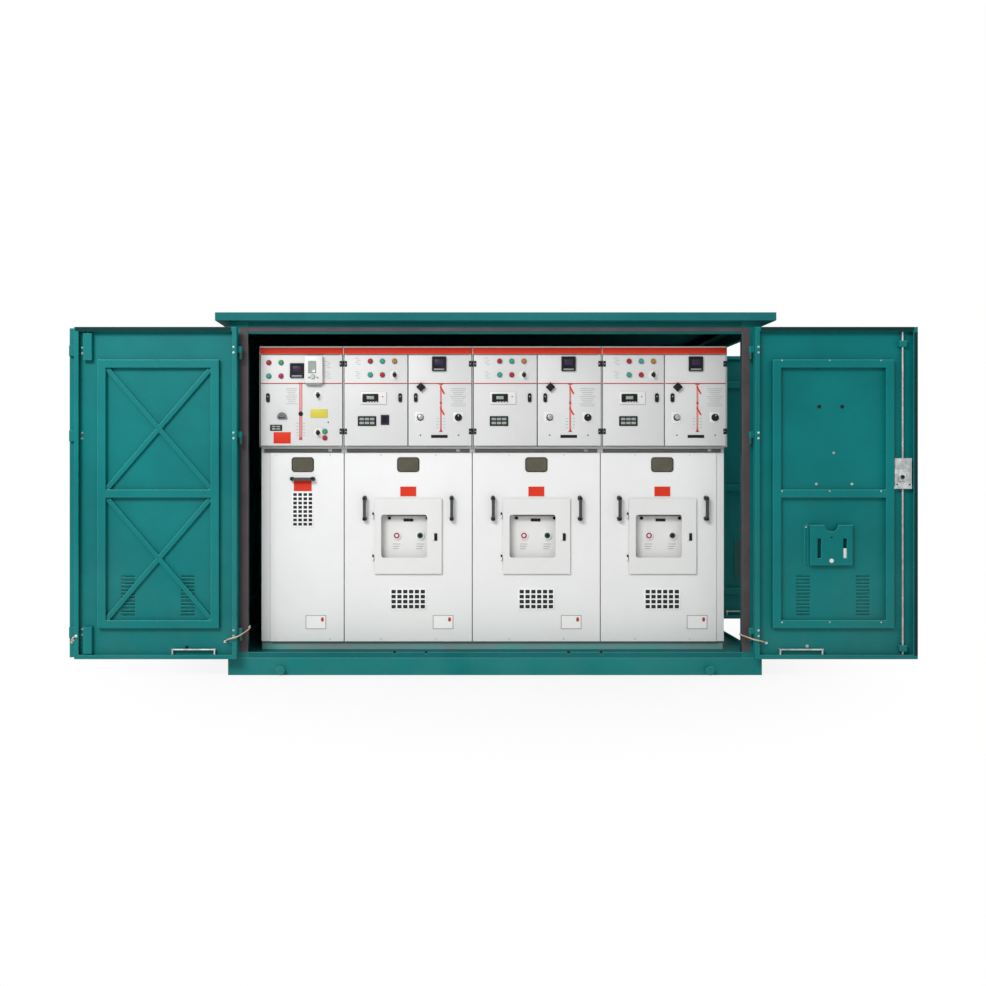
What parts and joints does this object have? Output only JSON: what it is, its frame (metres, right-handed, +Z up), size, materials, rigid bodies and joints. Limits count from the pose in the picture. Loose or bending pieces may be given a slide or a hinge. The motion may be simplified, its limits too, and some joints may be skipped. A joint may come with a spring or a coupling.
{
  "type": "outdoor cable branch kiosk with a row of switch cubicles",
  "caption": "Outdoor sheet-steel kiosk on a channel base, with folding front doors, a side door and a row of switch cubicles with hinged instrument doors.",
  "frame": {"origin": "on the underside of the middle cross-member, under the middle of the base", "axes": "+Z up, -Y out of the front doors, +X to the right as seen from the front"},
  "size_m": [5.195, 1.573, 2.062],
  "materials": {
    "green_paint": "semi-gloss",
    "green_base": "semi-gloss",
    "seal_rubber": "matt",
    "dark_steel": "satin",
    "plinth_paint": "satin",
    "dark_glass": "gloss",
    "black_plastic": "satin",
    "beige_panel": "satin",
    "grey_enamel": "satin",
    "copper_braid": "satin",
    "galvanised": "satin"
  },
  "bodies": {
    "kiosk": {"base_frame": "green_base", "lifting_pins": "green_paint", "floor_tray": "green_paint", "corner_posts": "green_paint", "top_frame": "green_paint", "roof": "green_paint", "door_seals": "seal_rubber", "rear_leaves": "green_paint", "left_side_leaf": "green_paint", "fixed_hinges": "dark_steel", "housing_1": "grey_enamel", "housing_2": "grey_enamel", "housing_3": "grey_enamel", "housing_4": "grey_enamel", "plinths": "plinth_paint", "cover_1": "grey_enamel", "cover_2": "grey_enamel", "cover_3": "grey_enamel", "cover_4": "grey_enamel", "cover_glass": "dark_glass", "cover_handles": "black_plastic", "test_panels": "beige_panel", "braid_left": "copper_braid", "braid_right": "copper_braid"},
    "left_door": {"left_leaf": "green_paint", "left_stiffeners": "green_paint", "left_fittings": "galvanised", "folded_leaf": "green_paint", "braid_fold": "copper_braid"},
    "right_door": {"right_leaf": "green_paint", "right_stiffeners": "green_paint", "document_pocket": "green_paint", "right_lock": "galvanised"},
    "side_door": {"side_leaf": "green_paint", "side_stiffeners": "green_paint", "side_pull": "galvanised"},
    "door_1_panel": {"door_1": "grey_enamel"},
    "door_2a_panel": {"door_2a": "grey_enamel"},
    "door_2b_panel": {"door_2b": "grey_enamel"},
    "door_3a_panel": {"door_3a": "grey_enamel"},
    "door_3b_panel": {"door_3b": "grey_enamel"},
    "door_4a_panel": {"door_4a": "grey_enamel"},
    "door_4b_panel": {"door_4b": "grey_enamel"},
    "hatch_2_flap": {"hatch_2": "grey_enamel"},
    "hatch_3_flap": {"hatch_3": "grey_enamel"},
    "hatch_4_flap": {"hatch_4": "grey_enamel"}
  },
  "joints": [
    {"name": "left_door_swing", "type": "hinge", "parent": "kiosk", "child": "left_door", "pos_m": [-1.424, -0.75, 0.108], "axis": [0, 0, -1], "range_deg": [-180, 0], "deforming": ["braid_left"]},
    {"name": "right_door_swing", "type": "hinge", "parent": "kiosk", "child": "right_door", "pos_m": [1.424, -0.75, 0.108], "axis": [0, 0, 1], "range_deg": [-180, 0], "deforming": ["braid_right"]},
    {"name": "side_door_swing", "type": "hinge", "parent": "kiosk", "child": "side_door", "pos_m": [1.55, 0.633, 0.108], "axis": [0, 0, 1], "range_deg": [-90, 0]},
    {"name": "door_1_swing", "type": "hinge", "parent": "kiosk", "child": "door_1_panel", "pos_m": [-0.88541, -0.541, 1.3], "axis": [0, 0, 1], "range_deg": [0, 75]},
    {"name": "door_2a_swing", "type": "hinge", "parent": "kiosk", "child": "door_2a_panel", "pos_m": [-0.85441, -0.541, 1.3], "axis": [0, 0, -1], "range_deg": [0, 75]},
    {"name": "door_2b_swing", "type": "hinge", "parent": "kiosk", "child": "door_2b_panel", "pos_m": [-0.13542, -0.541, 1.3], "axis": [0, 0, 1], "range_deg": [0, 75]},
    {"name": "door_3a_swing", "type": "hinge", "parent": "kiosk", "child": "door_3a_panel", "pos_m": [-0.10442, -0.541, 1.3], "axis": [0, 0, -1], "range_deg": [0, 75]},
    {"name": "door_3b_swing", "type": "hinge", "parent": "kiosk", "child": "door_3b_panel", "pos_m": [0.61457, -0.541, 1.3], "axis": [0, 0, 1], "range_deg": [0, 75]},
    {"name": "door_4a_swing", "type": "hinge", "parent": "kiosk", "child": "door_4a_panel", "pos_m": [0.64557, -0.541, 1.3], "axis": [0, 0, -1], "range_deg": [0, 75]},
    {"name": "door_4b_swing", "type": "hinge", "parent": "kiosk", "child": "door_4b_panel", "pos_m": [1.3395, -0.541, 1.3], "axis": [0, 0, 1], "range_deg": [0, 75]},
    {"name": "hatch_2_swing", "type": "hinge", "parent": "kiosk", "child": "hatch_2_flap", "pos_m": [-0.70091, -0.506, 0.549], "axis": [0, 0, -1], "range_deg": [0, 85]},
    {"name": "hatch_3_swing", "type": "hinge", "parent": "kiosk", "child": "hatch_3_flap", "pos_m": [0.04908, -0.506, 0.549], "axis": [0, 0, -1], "range_deg": [0, 85]},
    {"name": "hatch_4_swing", "type": "hinge", "parent": "kiosk", "child": "hatch_4_flap", "pos_m": [0.78654, -0.506, 0.549], "axis": [0, 0, -1], "range_deg": [0, 85]}
  ]
}
